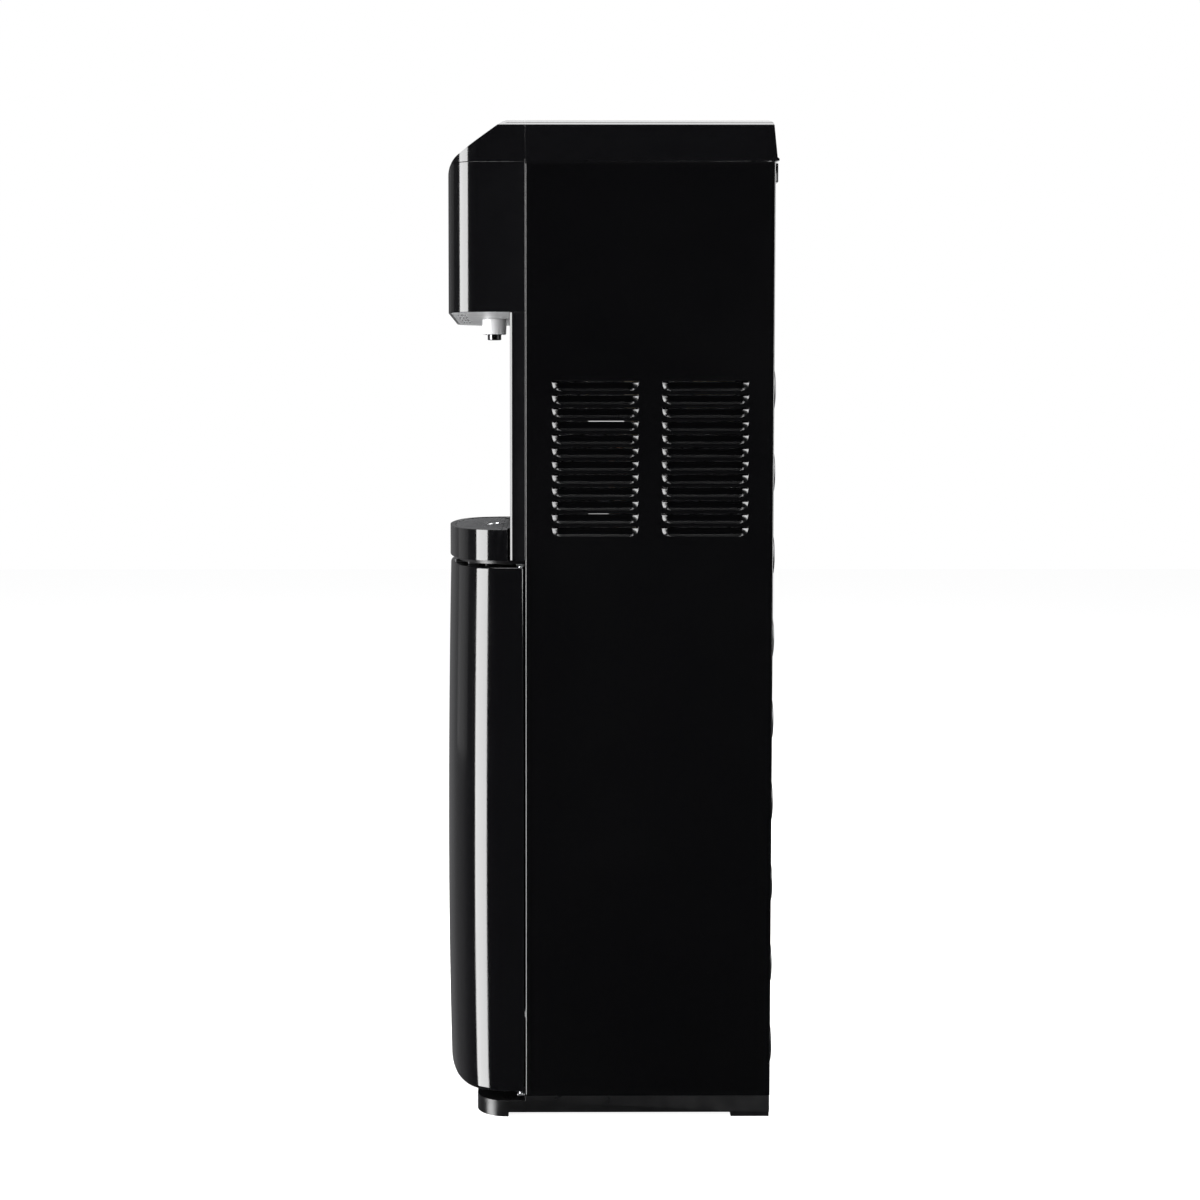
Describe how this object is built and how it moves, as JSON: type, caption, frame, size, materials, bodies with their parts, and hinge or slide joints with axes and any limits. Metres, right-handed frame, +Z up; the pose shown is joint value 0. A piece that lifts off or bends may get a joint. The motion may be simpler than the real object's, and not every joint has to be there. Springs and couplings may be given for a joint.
{
  "type": "water dispenser",
  "caption": "Tall floor-standing water dispenser with a bottle door below, a cup alcove with a drip tray, and a sloped button head with one spout.",
  "frame": {"origin": "centre of the footprint box on the floor", "axes": "+Z up, the door, head and drip tray face -Y, the door is hinged on the +X side"},
  "size_m": [0.31, 0.3519, 1.041],
  "materials": {
    "black_sheet_metal": "powder-coated pressed steel, satin",
    "black_gloss_plastic": "moulded, gloss",
    "black_matte_plastic": "moulded, fine texture",
    "grey_underside_plastic": "moulded, satin light grey",
    "satin_silver": "satin silver plated",
    "dark_spout": "dark polished",
    "grille_grey": "moulded, satin grey",
    "bright_ring": "polished",
    "liner_grey": "vacuum formed, satin",
    "zinc_steel": "zinc plated",
    "magnet_black": "magnet in rubber",
    "button_black": "moulded, satin gloss",
    "lock_red": "moulded, gloss",
    "lens_clear": "clear moulded",
    "board_green": "lacquered board",
    "translucent_white": "food-grade moulding",
    "hose_silicone": "clear silicone",
    "compressor_black": "enamelled steel",
    "rubber_black": "moulded rubber",
    "copper": "bare copper",
    "condenser_black": "enamelled steel wire and tube",
    "stainless": "brushed stainless",
    "white_foam": "expanded polystyrene",
    "tan_jacket": "felted insulation",
    "valve_white": "moulded nylon",
    "switch_red": "moulded, gloss",
    "switch_green": "moulded, gloss",
    "pump_dark": "moulded nylon"
  },
  "bodies": {
    "cabinet": {"base_plinth": "black_matte_plastic", "right_side_panel": "black_sheet_metal", "left_side_panel": "black_sheet_metal", "rear_panel": "black_sheet_metal", "top_cover": "black_gloss_plastic", "control_cap": "black_gloss_plastic", "head_front_cover": "black_gloss_plastic", "head_underside_cover": "grey_underside_plastic", "nozzle_shroud": "satin_silver", "nozzle_spout": "dark_spout", "alcove_liner": "black_gloss_plastic", "tray_shelf": "black_matte_plastic", "upper_hinge_bracket": "zinc_steel", "lower_hinge_bracket": "zinc_steel", "magnet_catch": "magnet_black", "indicator_lenses": "lens_clear", "control_board": "board_green", "bottle_tray": "liner_grey", "bottle_probe": "translucent_white", "probe_cap": "translucent_white", "probe_holder": "liner_grey", "suction_hose": "hose_silicone", "water_pump": "pump_dark", "pump_bracket": "zinc_steel", "compressor_shelf": "zinc_steel", "compressor": "compressor_black", "compressor_grommets": "rubber_black", "compressor_relay": "pump_dark", "filter_drier": "copper", "condenser_tube": "condenser_black", "condenser_wires": "condenser_black", "condenser_brackets": "condenser_black", "cold_tank": "stainless", "evaporator_coil": "copper", "insulation_lower": "white_foam", "insulation_upper": "white_foam", "float_stem": "translucent_white", "hot_tank": "stainless", "hot_tank_jacket": "tan_jacket", "heater_band": "zinc_steel", "solenoid_valves": "valve_white", "power_board": "board_green", "switch_bezel": "black_matte_plastic", "drain_outlet": "translucent_white", "cord_gland": "black_matte_plastic", "panel_screws": "zinc_steel"},
    "door": {"door_outer": "black_gloss_plastic", "door_inner_liner": "liner_grey", "strike_plate": "zinc_steel"},
    "tray": {"drip_tray": "black_gloss_plastic"},
    "grille": {"drip_grille": "grille_grey", "drip_grille_rear": "grille_grey", "grille_ring": "bright_ring"},
    "hot_key": {"hot_button": "button_black"},
    "room_key": {"room_button": "button_black"},
    "cold_key": {"cold_button": "button_black"},
    "lock_key": {"child_lock_button": "lock_red"},
    "hot_rocker": {"hot_switch": "switch_red"},
    "cold_rocker": {"cold_switch": "switch_green"},
    "cap": {"drain_cap": "black_matte_plastic"},
    "float": {"float_ring": "translucent_white"}
  },
  "joints": [
    {"name": "door_hinge", "type": "hinge", "parent": "cabinet", "child": "door", "pos_m": [0.151, -0.0945, 0.303], "axis": [0, 0, 1], "range_deg": [0, 95]},
    {"name": "tray_slide", "type": "slide", "parent": "cabinet", "child": "tray", "axis": [0, -1, 0], "range_m": [0, 0.11]},
    {"name": "grille_lift", "type": "slide", "parent": "tray", "child": "grille", "axis": [0, 0, 1], "range_m": [0, 0.04]},
    {"name": "hot_press", "type": "slide", "parent": "cabinet", "child": "hot_key", "axis": [0, 0.5807, -0.8141], "range_m": [0, 0.002], "stiffness_N_per_m": 700, "springref_m": -0.001},
    {"name": "room_press", "type": "slide", "parent": "cabinet", "child": "room_key", "axis": [0, 0.5807, -0.8141], "range_m": [0, 0.002], "stiffness_N_per_m": 700, "springref_m": -0.001},
    {"name": "cold_press", "type": "slide", "parent": "cabinet", "child": "cold_key", "axis": [0, 0.5807, -0.8141], "range_m": [0, 0.002], "stiffness_N_per_m": 700, "springref_m": -0.001},
    {"name": "lock_press", "type": "slide", "parent": "cabinet", "child": "lock_key", "axis": [0, 0.5807, -0.8141], "range_m": [0, 0.0015], "stiffness_N_per_m": 500, "springref_m": -0.001},
    {"name": "hot_rock", "type": "hinge", "parent": "cabinet", "child": "hot_rocker", "pos_m": [0.073, 0.164, 0.93], "axis": [1, 0, 0], "range_deg": [0, 10]},
    {"name": "cold_rock", "type": "hinge", "parent": "cabinet", "child": "cold_rocker", "pos_m": [0.097, 0.164, 0.93], "axis": [1, 0, 0], "range_deg": [0, 10]},
    {"name": "cap_pull", "type": "slide", "parent": "cabinet", "child": "cap", "axis": [0, 1, 0], "range_m": [0, 0.02]},
    {"name": "float_rise", "type": "slide", "parent": "cabinet", "child": "float", "axis": [0, 0, 1], "range_m": [0, 0.07]}
  ]
}
